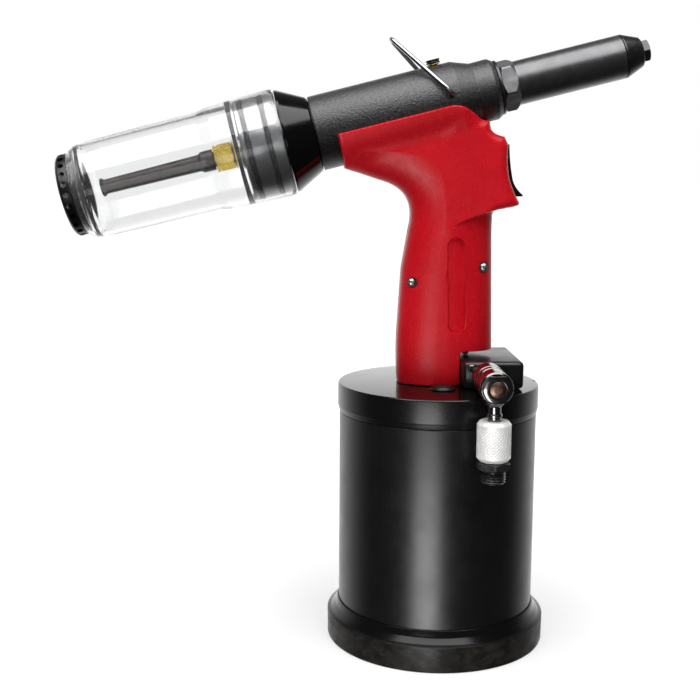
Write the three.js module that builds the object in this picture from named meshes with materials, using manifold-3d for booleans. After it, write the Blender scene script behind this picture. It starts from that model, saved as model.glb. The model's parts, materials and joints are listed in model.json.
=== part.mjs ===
// Hydro-pneumatic blind rivet gun, standing on its air cylinder. Millimetres, +Z up.
// Origin: centre of the foot's flat underside. +X points to the nose side, and the left half of
// the handle is on the -Y side. The head is tilted nose-up about Y. Air under the large piston
// pushes a thin ram up into the oil column, and the oil pushes the pull piston rearwards.
import * as THREE from 'three';
import { mergeVertices } from 'three/addons/utils/BufferGeometryUtils.js';
import Module from 'manifold-3d';

const wasm = await Module();
wasm.setup();

// ---------- driving dimensions ----------
const GAP = 0.3;                  // clearance between pieces that touch
const FINE = 36;                  // sides of a round: the base,
const ROUND = 24;                 // the head,
const SMALL = 16;                 // rods, bushes and fittings,
const TINY = 12;                  // screws, pins and bores

// air cylinder, about the origin's vertical axis
const FOOT = { r: 59.5, shoulderZ: 13.6, topZ: 20.9, floor: 5 };
const TUBE = { r: 53.2, bore: 50.7, bottomZ: 5.3, topZ: 126 };
const LID = { r: 54.1, topZ: 141.6, bandZ: 128.8, spigotZ: 118.5, bore: 12.3 };
const RAM = { r: 7, bottomZ: 10.6, topZ: 150, studR: 5 };
const PISTON = { r: 50.4, bottomZ: 16, topZ: 27.5 };
const COLUMN = { r: 10.8, bore: 7.3, bottomZ: 141.9, topZ: 261.7 };

// head, along its own axis: s runs forward from the foot's axis
const HEAD_Z = 290.1;             // height of the head's axis above the foot's centre
const TILT = THREE.MathUtils.degToRad(14.289);
const BOSS_R = 12;                // boss under the head, over the oil column
const HEAD = { r: 19.4, bore: 16, rearS: -68.4, boreEndS: 8, frontR: 15.7, frontS: 28.9 };
const NOSE = { r: 11.4, bore: 9.4, endS: 96.4, cavityS: 39.5 };
const PULL_ROD = { r: 6, bore: 2.7, rearS: -66, frontS: 64 };
const CASE = { r: 9, rearS: 60, frontS: 91 };
const JAW_CONE = { rearS: 79.3, rearR: 6.2, frontR: 4.2 };
const BOTTLE = { openS: -85.6, endS: -195.9 };
const HUB = { r: 26.3, frontS: -85.2, rearS: -107, spigotR: 15.7, spigotS: -61.9 };

// handle, trigger and valve
const GRIP_HALF = 17;             // half thickness of the grip, along Y
const SHELL_WALL = 2.6;
const SADDLE_R = 22;              // outside of the shells round the head tube
const SADDLE_EDGE = -3.2;         // height of the shells' top edge, from the head's axis
const SLOT_HALF = 6.4;            // half width of the trigger's slot
const TRIGGER_HALF = 5.9;
const TRIGGER_PIN = { x: 28.5, z: 265, r: 1.5 };
const VALVE_Z = 252;
const PILOT = { x: 14.6, r: 1.7 };
const BLOCK = { x0: 10.2, x1: 42.2, half: 26.5, z0: 141.9, z1: 156.4 };
const SPOOL = { x: 30.5, z: 149.2, r: 4.7 };
const SCREWS = { rear: [-15.8, 196.4], front: [21.9, 204.4] };

// air inlet, hanging on its banjo bolt
const INLET = { x: 21, z: 150.2, planeY: -63 };
const COLLAR = { r: 8.55, topZ: 133.4, bottomZ: 113 };
const NIPPLE = { hexTopZ: 112.7, hexZ: 109, endZ: 102, r: 6.4, bore: 3.6 };

// hanger bail, in the head's side holes
const BAIL = { x: 2.8, z: 293, reach: 42.7, half: 21.2, wire: 1.2, lean: 136.5 };

// ---------- finishes ----------
const finish = (color, roughness, metalness) =>
  new THREE.MeshStandardMaterial({ color, roughness, metalness });
const RED = finish(0xb3202a, 0.5, 0);
const BLACK_CASTING = finish(0x26272a, 0.6, 0.3);
const GLOSS_BLACK = finish(0x0b0b0c, 0.18, 0.1);
const SATIN_BLACK = finish(0x1a1b1d, 0.38, 0.3);
const RUBBER = finish(0x141415, 0.7, 0);
const ALUMINIUM = finish(0xa9abad, 0.35, 0.9);
const STEEL = finish(0x8d8f92, 0.3, 0.95);
const DARK_STEEL = finish(0x3b3c3e, 0.4, 0.8);
const CHROME = finish(0xd0d2d4, 0.08, 1);
const BRASS = finish(0xd8a520, 0.28, 0.9);
const BRONZE = finish(0x9a7434, 0.35, 0.85);
const SEAL = finish(0x101010, 0.6, 0);
const CLEAR = new THREE.MeshStandardMaterial({
  color: 0xf2f4f5, roughness: 0.06, metalness: 0, transparent: true, opacity: 0.3,
});

// ---------- solids ----------
// A three.js geometry with its vertices merged and its collapsed triangles dropped.
function tidy(geometry) {
  const bare = geometry.clone();
  bare.deleteAttribute('normal');
  bare.deleteAttribute('uv');
  const merged = mergeVertices(bare, 1e-4);
  const index = [];
  const old = merged.getIndex().array;
  for (let i = 0; i < old.length; i += 3) {
    const [a, b, c] = [old[i], old[i + 1], old[i + 2]];
    if (a !== b && b !== c && c !== a) index.push(a, b, c);
  }
  merged.setIndex(index);
  return merged;
}

function solid(geometry) {
  const g = tidy(geometry);
  return new wasm.Manifold(new wasm.Mesh({
    numProp: 3,
    vertProperties: new Float32Array(g.getAttribute('position').array),
    triVerts: new Uint32Array(g.getIndex().array),
  }));
}

function toGeometry(manifold) {
  const mesh = manifold.getMesh();
  const geometry = new THREE.BufferGeometry();
  geometry.setAttribute('position', new THREE.BufferAttribute(mesh.vertProperties, 3));
  geometry.setIndex(new THREE.BufferAttribute(mesh.triVerts, 1));
  geometry.computeVertexNormals();
  return geometry;
}

// base plus the added pieces, less the cut ones, all as geometries
function carve(base, { add = [], cut = [] }) {
  let body = solid(base);
  for (const piece of add) body = body.add(solid(piece));
  for (const piece of cut) body = body.subtract(solid(piece));
  return toGeometry(body);
}

// Turned piece about Z. The profile is a list of [radius, height], up the outside; a bored
// piece's profile comes back down the inside to its first point.
function turned(profile, segments = ROUND) {
  const points = profile.map(([r, z]) => new THREE.Vector2(r, z));
  return tidy(new THREE.LatheGeometry(points, segments).rotateX(Math.PI / 2));
}

const ring = (r0, r1, z0, z1, segments) =>
  turned([[r0, z0], [r1, z0], [r1, z1], [r0, z1], [r0, z0]], segments);

const rod = (r, z0, z1, segments = SMALL) => turned([[0, z0], [r, z0], [r, z1], [0, z1]], segments);

const alongX = (geometry) => geometry.rotateY(Math.PI / 2);
const alongY = (geometry) => geometry.rotateX(-Math.PI / 2);

function box(x0, x1, y0, y1, z0, z1) {
  return new THREE.BoxGeometry(x1 - x0, y1 - y0, z1 - z0)
    .translate((x0 + x1) / 2, (y0 + y1) / 2, (z0 + z1) / 2);
}

// a hexagonal prism along Z, with a corner at the given angle from +X
function hexagon(corner, z0, z1, turn = 0) {
  return new THREE.CylinderGeometry(corner, corner, z1 - z0, 6)
    .rotateX(Math.PI / 2).rotateZ(turn + Math.PI / 2).translate(0, 0, (z0 + z1) / 2);
}

// a side outline (x, z) made into a plate from y0 to y1, with an optional rounded edge
function plate(shape, y0, y1, round = 0) {
  const geometry = new THREE.ExtrudeGeometry(shape, {
    depth: y1 - y0 - 2 * round, bevelEnabled: round > 0, bevelThickness: round,
    bevelSize: round, bevelOffset: -round, bevelSegments: 2, curveSegments: 5,
  });
  return geometry.rotateX(Math.PI / 2).translate(0, y1 - round, 0);
}

function outline(points) {
  const shape = new THREE.Shape();
  shape.moveTo(...points[0]);
  for (const p of points.slice(1)) {
    if (p.length === 4) shape.quadraticCurveTo(...p);
    else shape.lineTo(...p);
  }
  shape.closePath();
  return shape;
}

function wire(path, radius, steps, sides = 6) {
  const section = new THREE.Shape();
  for (let i = 0; i < sides; i += 1) {
    const angle = (i / sides) * 2 * Math.PI;
    const [x, y] = [radius * Math.cos(angle), radius * Math.sin(angle)];
    if (i === 0) section.moveTo(x, y);
    else section.lineTo(x, y);
  }
  section.closePath();
  return tidy(new THREE.ExtrudeGeometry(section, { steps, extrudePath: path, bevelEnabled: false }));
}

class Coil extends THREE.Curve {
  constructor(radius, start, end, turns) {
    super();
    Object.assign(this, { radius, start, end, turns });
  }

  getPoint(t) {
    const angle = t * this.turns * 2 * Math.PI;
    return new THREE.Vector3(
      this.start + t * (this.end - this.start),
      this.radius * Math.cos(angle),
      this.radius * Math.sin(angle),
    );
  }
}

const gun = new THREE.Group();
const head = new THREE.Group();
head.position.z = HEAD_Z;
head.rotation.y = -TILT;
gun.add(head);

function put(group, name, geometry, material) {
  const mesh = new THREE.Mesh(geometry, material);
  mesh.name = name;
  group.add(mesh);
}

// ---------- air cylinder ----------
function foot() {
  const bore = TUBE.r + 0.25;
  return turned([
    [0, 0], [FOOT.r - 0.6, 0], [FOOT.r, 0.6], [FOOT.r, FOOT.shoulderZ - 0.8],
    [FOOT.r - 0.8, FOOT.shoulderZ], [56.2, 15.4], [54.6, 17.6], [53.9, FOOT.topZ],
    [bore, FOOT.topZ], [bore, FOOT.floor], [0, FOOT.floor],
  ], FINE);
}

function lid() {
  return turned([
    [LID.bore, LID.spigotZ], [50.4, LID.spigotZ], [50.4, TUBE.topZ + GAP], [TUBE.r, TUBE.topZ + GAP],
    [LID.r, LID.bandZ], [LID.r, LID.topZ - 1.2], [LID.r - 1.2, LID.topZ],
    [LID.bore, LID.topZ], [LID.bore, LID.spigotZ],
  ], FINE);
}

function airPiston() {
  const { r, bottomZ, topZ } = PISTON;
  const hole = RAM.studR + GAP;
  return turned([
    [hole, bottomZ], [r, bottomZ], [r, 19.6], [r - 3.3, 19.6], [r - 3.3, 23.4], [r, 23.4],
    [r, topZ], [hole, topZ], [hole, bottomZ],
  ], FINE);
}

function ramRod() {
  const shoulder = PISTON.topZ + GAP;
  return turned([
    [0, RAM.bottomZ], [RAM.studR, RAM.bottomZ], [RAM.studR, shoulder], [9.5, shoulder],
    [9.5, shoulder + 3.2], [RAM.r, shoulder + 3.2], [RAM.r, RAM.topZ - 1], [RAM.r - 1, RAM.topZ],
    [0, RAM.topZ],
  ], SMALL);
}

function buildCylinder() {
  put(gun, 'foot_boot', foot(), RUBBER);
  put(gun, 'bottom_cap', ring(3, 50.4, TUBE.bottomZ, 9.7, FINE), ALUMINIUM);
  put(gun, 'cylinder_tube', ring(TUBE.bore, TUBE.r, TUBE.bottomZ, TUBE.topZ, FINE), SATIN_BLACK);
  put(gun, 'cylinder_lid', lid(), GLOSS_BLACK);
  const dome = turned([
    [0, 141.9], [7, 141.9], [7, 142.6], [6.5, 142.9], [4.6, 142.9], [4.2, 142.5], [3.75, 142.5],
    [3.1, 143.6], [1.7, 144.2], [0, 144.4],
  ], SMALL);
  put(gun, 'lid_plug', dome.translate(-0.2, -24.5, 0), GLOSS_BLACK);
  put(gun, 'air_piston', airPiston(), ALUMINIUM);
  put(gun, 'air_piston_seal', ring(PISTON.r - 3, PISTON.r, 19.9, 23.1, FINE), SEAL);
  put(gun, 'ram_rod', ramRod(), STEEL);
  const nut = carve(hexagon(9.8, 11, 15.7), { cut: [rod(RAM.studR + GAP, 10, 17)] });
  put(gun, 'ram_nut', nut, STEEL);
  put(gun, 'ram_gland', ring(COLUMN.bore, 12, 122, 141.3, SMALL), BRONZE);
}

// ---------- oil column, valve and trigger ----------
function valveBlock() {
  const { x0, x1, half, z0, z1 } = BLOCK;
  const shape = outline([[x0, z0], [x1, z0], [x1, z1 - 3], [x1, z1, x1 - 3, z1], [x0, z1]]);
  const spoolBore = alongY(rod(SPOOL.r + GAP, -18, half + 1, 20)).translate(SPOOL.x, 0, SPOOL.z);
  return carve(plate(shape, -half, half), {
    cut: [rod(COLUMN.r + 0.5, z0 - 1, z1 + 1, SMALL), spoolBore],
  });
}

function triggerLever() {
  const { x, z, r } = TRIGGER_PIN;
  const side = outline([
    [25.2, 268.4], [34.9, 268.4], [35.1, 259, 37.1, 249.8], [38.6, 245.2, 42.6, 242.1],
    [42.6, 241.3], [37.6, 241.3], [32.6, 246, 30.2, 249], [29.6, 258], [25.2, 260.2],
  ]);
  const hole = alongY(rod(r + GAP, -8, 8, TINY)).translate(x, 0, z);
  return carve(plate(side, -TRIGGER_HALF, TRIGGER_HALF), { cut: [hole] });
}

function buildValve() {
  const column = ring(COLUMN.bore, COLUMN.r, COLUMN.bottomZ, COLUMN.topZ, SMALL);
  put(gun, 'hydraulic_column', column, ALUMINIUM);
  put(gun, 'valve_block', valveBlock(), GLOSS_BLACK);
  const plug = alongY(turned([
    [0, -27.9], [1.1, -27.9], [1.1, -28.3], [2, -28.3], [2, -26.8], [0, -26.8],
  ], TINY));
  put(gun, 'valve_block_plug', plug.translate(14.5, 0, 153.2), DARK_STEEL);
  const spool = alongY(turned([
    [0, -11], [SPOOL.r, -11], [SPOOL.r, -5], [3, -5], [3, 7], [SPOOL.r, 7], [SPOOL.r, 14], [0, 14],
  ], 20));
  put(gun, 'valve_spool', spool.translate(SPOOL.x, 0, SPOOL.z), ALUMINIUM);
  const endPlug = alongY(rod(SPOOL.r, 19.5, BLOCK.half, 20)).translate(SPOOL.x, 0, SPOOL.z);
  put(gun, 'valve_end_plug', endPlug, DARK_STEEL);
  const tube = ring(1, PILOT.r, BLOCK.z1 + GAP, VALVE_Z - 5.8, TINY).translate(PILOT.x, 0, 0);
  put(gun, 'pilot_tube', tube, DARK_STEEL);
  const stemBore = alongX(rod(2.4, 12.9, 26, TINY)).translate(0, 0, VALVE_Z);
  const valve = carve(box(11.4, 25, -5.6, 5.6, VALVE_Z - 5.5, VALVE_Z + 5.5), { cut: [stemBore] });
  put(gun, 'trigger_valve_body', valve, BRASS);
  put(gun, 'valve_stem', alongX(rod(2.1, 19, 29.3, TINY)).translate(0, 0, VALVE_Z), STEEL);
  const spring = wire(new Coil(1.55, 13.6, 18.2, 3), 0.4, 27, 5).translate(0, 0, VALVE_Z);
  put(gun, 'trigger_spring', spring, STEEL);
  put(gun, 'trigger', triggerLever(), GLOSS_BLACK);
  const { x, z, r } = TRIGGER_PIN;
  put(gun, 'trigger_pin', alongY(rod(r, -13.5, 13.5, TINY)).translate(x, 0, z), STEEL);
}

// ---------- handle shells ----------
const edgeZ = (x) => HEAD_Z + x * Math.tan(TILT) + SADDLE_EDGE / Math.cos(TILT);

function handleOutline() {
  return outline([
    [-55.6, edgeZ(-55.6)], [1.1, edgeZ(1.1)], [8.5, 288.4, 13.6, 284.1], [17.4, 280.5, 22.9, 280.3],
    [23.9, 276], [25.6, 273.2, 31.2, 272.2], [33.2, 267.7], [32.4, 259, 34.1, 250.7],
    [36, 244.2, 39.6, 238.2], [38.9, 236.6], [28.7, 234.1], [27.2, 233.6, 27.1, 231.2],
    [27, 222], [28.5, 161], [9.8, 159.8], [9.8, 142.2], [-22.6, 142.2],
    [-23.8, 158, -22.4, 176], [-20.9, 203], [-17.2, 224], [-15.7, 230, -16.6, 236],
    [-18.2, 244.5, -28, 247.8], [-51.2, 255.2],
  ]);
}

// everything inside the shells' wall: the same outline drawn in by the wall
function handleCavity() {
  return outline([
    [-53.4, 271], [1, 284.6], [7, 285, 11.6, 281.2], [16, 277.9], [21.4, 277.6],
    [22.5, 272.8], [25, 270.6, 29.6, 269.8], [30.4, 266], [29.8, 258, 31.3, 250.6],
    [32.6, 245, 35.6, 239.2], [28, 236.8], [24.4, 235.6, 24.4, 231],
    [24.4, 222], [25.9, 163.6], [7.2, 162.3], [7.2, 140], [-20, 140],
    [-21.2, 158, -19.8, 176], [-18.3, 203], [-14.6, 224], [-13.1, 230, -14, 236.4],
    [-16, 246.6, -26.8, 250.4], [-50, 258],
  ]);
}

function handleSolid() {
  const tiltToHead = (geometry) => geometry.rotateY(-TILT).translate(0, 0, HEAD_Z);
  const saddle = solid(tiltToHead(alongX(rod(SADDLE_R, -58.2, 9, ROUND))));
  const belowEdge = solid(plate(handleOutline(), -30, 30));
  const grip = solid(plate(handleOutline(), -GRIP_HALF, GRIP_HALF, 1.5));
  let body = grip.add(saddle.intersect(belowEdge));
  const inner = GRIP_HALF - SHELL_WALL;
  const cuts = [
    plate(handleCavity(), -inner, inner),
    tiltToHead(alongX(rod(HEAD.r + GAP, -70, 40, ROUND))),
    box(22, 45, -SLOT_HALF, SLOT_HALF, 238.7, 268.9),
    rod(COLUMN.r + GAP, 140, COLUMN.topZ + 1, SMALL),
    rod(BOSS_R + GAP, COLUMN.topZ, 280, SMALL),
    rod(PILOT.r + GAP, 155, 170, TINY).translate(PILOT.x, 0, 0),
  ];
  for (const cut of cuts) body = body.subtract(solid(cut));
  const bosses = [[...SCREWS.rear, 4], [...SCREWS.front, 3.9]];
  for (const [x, z, r] of bosses) body = body.add(solid(post(x, z, r, inner + 0.5)));
  const ends = [1, -1].map((side) => post(TRIGGER_PIN.x, TRIGGER_PIN.z, 3.2, 4.2, side * 10.9));
  for (const end of ends) body = body.add(solid(end).intersect(belowEdge));
  body = body.subtract(solid(post(TRIGGER_PIN.x, TRIGGER_PIN.z, TRIGGER_PIN.r + GAP, 14)));
  for (const [x, z] of Object.values(SCREWS)) {
    body = body.subtract(solid(post(x, z, 1.7, 13.5, -1.5)));
    body = body.subtract(solid(post(x, z, 2.9, 5.8, -16.6)));
  }
  return body;
}

// a round post along Y, half its length each side of y
function post(x, z, r, half, y = 0) {
  return alongY(rod(r, y - half, y + half, TINY)).translate(x, 0, z);
}

function screw(x, z) {
  return alongY(turned([
    [0, -12.6], [1.4, -12.6], [2.1, -12], [2.1, -11.1], [1.4, -11.1], [1.4, 11], [0, 11],
  ].reverse().map(([r, y]) => [r, -y]), TINY)).rotateZ(Math.PI).translate(x, 0, z);
}

function buildHandle() {
  const body = handleSolid();
  const half = (y0, y1) => toGeometry(body.intersect(solid(box(-90, 90, y0, y1, 100, 330))));
  put(gun, 'handle_shell_left', half(-40, -GAP / 2), RED);
  put(gun, 'handle_shell_right', half(GAP / 2, ROUND), RED);
  put(gun, 'handle_screw_rear', screw(...SCREWS.rear), DARK_STEEL);
  put(gun, 'handle_screw_front', screw(...SCREWS.front), DARK_STEEL);
}

// ---------- air inlet ----------
function buildInlet() {
  const { x, z, planeY } = INLET;
  const at = (geometry) => alongY(geometry).translate(x, 0, z);
  const adapter = turned([
    [0, -56], [7.6, -56], [8.2, -55.4], [8.2, -38.6], [7.6, -38], [4.6, -38], [4.6, -26.8],
    [0, -26.8],
  ], SMALL);
  put(gun, 'inlet_adapter', at(adapter), CHROME);
  const bolt = carve(rod(4.7, -69.6, -56.3), { add: [hexagon(7.7, -72.7, -69.3)] });
  put(gun, 'banjo_bolt', at(bolt), CHROME);
  const eye = at(turned([
    [5, -69], [7.6, -69], [8.3, -68.3], [8.3, -57.7], [7.6, -57], [5, -57], [5, -69],
  ], SMALL));
  const stem = rod(3.25, 120, z - 7).translate(x, planeY, 0);
  put(gun, 'swivel_body', carve(eye, { add: [stem] }), CHROME);
  put(gun, 'banjo_washer', at(ring(5, 7.4, -56.7, -56.3, SMALL)), BRASS);
  const collar = turned([
    [3.6, COLLAR.bottomZ], [7, COLLAR.bottomZ], [COLLAR.r, 114.8], [COLLAR.r, 131.8],
    [7.2, COLLAR.topZ], [3.6, COLLAR.topZ], [3.6, COLLAR.bottomZ],
  ], ROUND);
  put(gun, 'knurled_collar', collar.translate(x, planeY, 0), STEEL);
  const nipple = carve(hexagon(9, NIPPLE.hexZ, NIPPLE.hexTopZ, Math.PI / 6), {
    add: [rod(NIPPLE.r, NIPPLE.endZ, NIPPLE.hexZ + 1)],
    cut: [rod(NIPPLE.bore, NIPPLE.endZ - 1, NIPPLE.hexTopZ + 1, TINY)],
  });
  put(gun, 'hose_nipple', nipple.translate(x, planeY, 0), DARK_STEEL);
}

// ---------- head ----------
function headCasting() {
  const { r, bore, rearS, boreEndS, frontR, frontS } = HEAD;
  const casting = alongX(turned([
    [12.3, frontS], [12.3, boreEndS], [bore, boreEndS], [bore, -84.9], [17.2, -84.9],
    [17.2, rearS], [r, rearS], [r, -4], [19.1, 4], [19.1, 7.7], [frontR, 17.5],
    [frontR, 27.2], [14.5, frontS], [12.3, frontS],
  ]));
  const upright = (geometry) => geometry.translate(0, 0, -HEAD_Z).rotateY(TILT);
  const drop = COLUMN.topZ + GAP - HEAD_Z;
  const boss = upright(rod(BOSS_R, drop + HEAD_Z, 274, SMALL));
  const port = upright(rod(3, drop + HEAD_Z - 1, 281, TINY));
  const pivotS = BAIL.x * Math.cos(TILT) + (BAIL.z - HEAD_Z) * Math.sin(TILT);
  const pivotN = -BAIL.x * Math.sin(TILT) + (BAIL.z - HEAD_Z) * Math.cos(TILT);
  const pivots = [1, -1].map((side) => post(pivotS, pivotN, 1.5, 3, side * 20.2));
  const bleed = rod(2.3, 10, 24, TINY).translate(-0.3, 0, 0);
  const inside = alongX(rod(bore, -90, boreEndS, ROUND));
  return carve(casting, { add: [boss], cut: [inside, port, ...pivots, bleed] });
}

function bottle() {
  return alongX(turned([
    [20.6, -195.9], [22.6, -195.9], [24.2, -193], [25.3, -187], [25.5, -170], [25.9, -126],
    [27.3, -119.6], [28.15, -88], [27.9, -85.6], [26.6, -85.6], [26.6, -108], [23.7, -110.4],
    [23.4, -189], [20.6, -192], [20.6, -195.9],
  ]));
}

function endCap() {
  const cap = alongX(turned([
    [0, -202.2], [20.8, -202.2], [21.6, -201.4], [21.6, -196.2], [20.3, -196.2], [20.3, -192.6],
    [18.4, -192.6], [18.4, -200.4], [0, -200.4],
  ]));
  const vents = [];
  for (let i = 0; i < 12; i += 1) {
    vents.push(rod(1.6, -24, 24, 6).rotateX((i / 12) * Math.PI).translate(-198.7, 0, 0));
  }
  return carve(cap, { cut: vents });
}

function guideTube() {
  return alongX(turned([
    [2.7, -184.2], [4.85, -184.2], [4.85, -182.8], [3.8, -182], [4.4, -130.4], [5.5, -130.2],
    [5.5, -121.4], [4, -121.4], [4, -89], [2.7, -89], [2.7, -184.2],
  ], SMALL));
}

function buildCollector() {
  const cone = alongX(turned([
    [17.5, -84.7], [26.9, -84.7], [26.9, -83.5], [19.6, -69.4], [18.6, -68.8], [17.5, -68.8],
    [17.5, -84.7],
  ]));
  put(head, 'rear_cone', cone, GLOSS_BLACK);
  const hub = alongX(turned([
    [4.3, -112.6], [8.6, -112.6], [8.6, -107], [HUB.r, HUB.rearS], [HUB.r, -104.4], [25, -104.4],
    [25, -101.6], [HUB.r, -101.6], [HUB.r, -93.9], [25, -93.9], [25, -91.1], [HUB.r, -91.1],
    [HUB.r, HUB.frontS], [HUB.spigotR, HUB.frontS], [HUB.spigotR, HUB.spigotS],
    [6.3, HUB.spigotS], [6.3, -88], [4.3, -88], [4.3, -112.6],
  ]));
  put(head, 'rear_hub', hub, ALUMINIUM);
  put(head, 'collector_oring_front', alongX(ring(25.2, 26.5, -93.6, -91.4, ROUND)), SEAL);
  put(head, 'collector_oring_rear', alongX(ring(25.2, 26.5, -104.1, -101.9, ROUND)), SEAL);
  put(head, 'collector_bottle', bottle(), CLEAR);
  put(head, 'collector_cap', endCap(), GLOSS_BLACK);
  put(head, 'guide_tube', guideTube(), DARK_STEEL);
  const nut = carve(hexagon(7, -121.1, -112.9), { cut: [rod(4.3, -122, -112, TINY)] });
  put(head, 'guide_nut', alongX(nut), BRASS);
}

function jaw(index) {
  const { rearS, rearR, frontR } = JAW_CONE;
  const wedge = new THREE.Shape();
  const spread = THREE.MathUtils.degToRad(52);
  wedge.moveTo(0.4, 0);
  wedge.lineTo(12, -12 * Math.tan(spread));
  wedge.lineTo(12, 12 * Math.tan(spread));
  wedge.closePath();
  const cone = turned([
    [1.7, rearS], [rearR, rearS], [frontR, CASE.frontS], [1.7, CASE.frontS], [1.7, rearS],
  ], ROUND);
  const sector = new THREE.ExtrudeGeometry(wedge, { depth: 20, bevelEnabled: false });
  const third = solid(cone).intersect(solid(sector.translate(0, 0, rearS - 2)));
  return alongX(toGeometry(third)).rotateX((index / 3) * 2 * Math.PI);
}

function buildPullUnit() {
  const piston = alongX(turned([
    [6.3, -24], [15.7, -24], [15.7, -18.4], [13.4, -18.4], [13.4, -13.6], [15.7, -13.6],
    [15.7, -8], [6.3, -8], [6.3, -24],
  ]));
  put(head, 'pull_piston', piston, STEEL);
  put(head, 'pull_piston_seal', alongX(ring(13.7, 15.7, -18.1, -13.9, ROUND)), SEAL);
  const { r, bore, rearS, frontS } = PULL_ROD;
  put(head, 'pull_rod', alongX(ring(bore, r, rearS, frontS, SMALL)), STEEL);
  const spring = wire(new Coil(11.6, -26, -60.2, 5), 1.3, 60, 5);
  put(head, 'return_spring', spring, STEEL);
  put(head, 'front_gland', alongX(ring(6.3, 12, HEAD.boreEndS + GAP, 26.3, SMALL)), BRONZE);
  const mouth = JAW_CONE.frontR + GAP;
  const seat = JAW_CONE.rearR + GAP;
  put(head, 'jaw_case', alongX(turned([
    [6.3, CASE.rearS], [CASE.r, CASE.rearS], [CASE.r, 90], [8.2, CASE.frontS],
    [mouth, CASE.frontS], [seat, JAW_CONE.rearS], [seat + 0.4, 78], [seat + 0.4, 64.6],
    [6.3, 64.3], [6.3, CASE.rearS],
  ], SMALL)), STEEL);
  for (let i = 0; i < 3; i += 1) put(head, `jaw_${i + 1}`, jaw(i), DARK_STEEL);
  put(head, 'jaw_pusher', alongX(turned([
    [2.6, 71.4], [6.2, 71.4], [6.2, 73.4], [4.8, 73.4], [4.8, 77.6], [3.6, 79], [2.6, 79],
    [2.6, 71.4],
  ], SMALL)), STEEL);
  put(head, 'pusher_spring', wire(new Coil(4.9, 64.9, 70.7, 3), 0.5, 30, 5), STEEL);
}

function buildNose() {
  put(head, 'nose_ring', alongX(ring(11.7, 14.2, 29.3, 30.7, ROUND)), DARK_STEEL);
  const cone = alongX(turned([
    [11.7, 31], [16, 31], [16, 33.6], [11.9, 39], [11.7, 39], [11.7, 31],
  ], ROUND));
  const prism = alongX(hexagon(13.7, 30, 40, THREE.MathUtils.degToRad(228)));
  put(head, 'lock_nut', toGeometry(solid(prism).intersect(solid(cone))), DARK_STEEL);
  put(head, 'nose_sleeve', alongX(turned([
    [6.3, 26.6], [NOSE.r, 26.6], [NOSE.r, NOSE.endS], [NOSE.bore, NOSE.endS],
    [NOSE.bore, NOSE.cavityS], [6.3, NOSE.cavityS], [6.3, 26.6],
  ], ROUND)), SATIN_BLACK);
  put(head, 'nose_cap', alongX(turned([
    [4.3, 106.8], [4.3, 91.9], [9.1, 91.9], [9.1, 96.7], [NOSE.r, 96.7], [NOSE.r, 97.2],
    [7.7, 106.2], [7.2, 106.8], [4.3, 106.8],
  ], ROUND)), GLOSS_BLACK);
  const tip = carve(rod(4, 91.4, 107.6, SMALL), {
    add: [hexagon(6.2, 107.1, 110.6, Math.PI / 6)],
    cut: [rod(2.1, 90, 112, TINY)],
  });
  put(head, 'nosepiece', alongX(tip), DARK_STEEL);
}

// ---------- fittings on the head ----------
class BailPath extends THREE.Curve {
  constructor() {
    super();
    const { reach, half, wire: r } = BAIL;
    const inset = 17.6;
    const tip = reach - r;
    // the legs run straight past the sides of the head and then close in to a round tip
    const right = [
      [0, inset], [0, half - 1.2], [0.5, half - 0.2], [1.6, half], [3, half], [5, half - 0.25],
      [6.8, half - 0.95], [23, half - 9.35], [tip - 2, 3.3], [tip - 0.5, 1.9],
    ];
    const left = right.map(([u, v]) => [u, -v]).reverse();
    const points = [...right, [tip, 0], ...left].map(([u, v]) => new THREE.Vector3(u, v, 0));
    this.spline = new THREE.CatmullRomCurve3(points, false, 'centripetal');
  }

  getPoint(t) {
    return this.spline.getPoint(t);
  }
}

function buildTopFittings() {
  const bail = wire(new BailPath(), BAIL.wire, 60, 8)
    .rotateY(-THREE.MathUtils.degToRad(BAIL.lean)).translate(BAIL.x, 0, BAIL.z);
  put(gun, 'hanger_bail', bail, STEEL);
  const screwBody = turned([
    [0, 16.8], [2, 16.8], [2, 20.2], [3.8, 20.2], [3.8, 22.2], [3.2, 22.2], [1.2, 21.6],
    [0, 21.5],
  ], SMALL);
  put(head, 'bleed_screw', screwBody.translate(-0.3, 0, 0), GLOSS_BLACK);
  const washer = ring(2.3, 3.5, 19.5, 19.9, SMALL).translate(-0.3, 0, 0);
  put(head, 'bleed_washer', washer, BRASS);
}

buildCylinder();
buildValve();
buildHandle();
buildInlet();
buildCollector();
put(head, 'head_casting', headCasting(), BLACK_CASTING);
buildPullUnit();
buildNose();
buildTopFittings();

export default gun;
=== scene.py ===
import json
import math

import bmesh
import bpy
import numpy as np
from mathutils import Matrix, Vector


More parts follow.
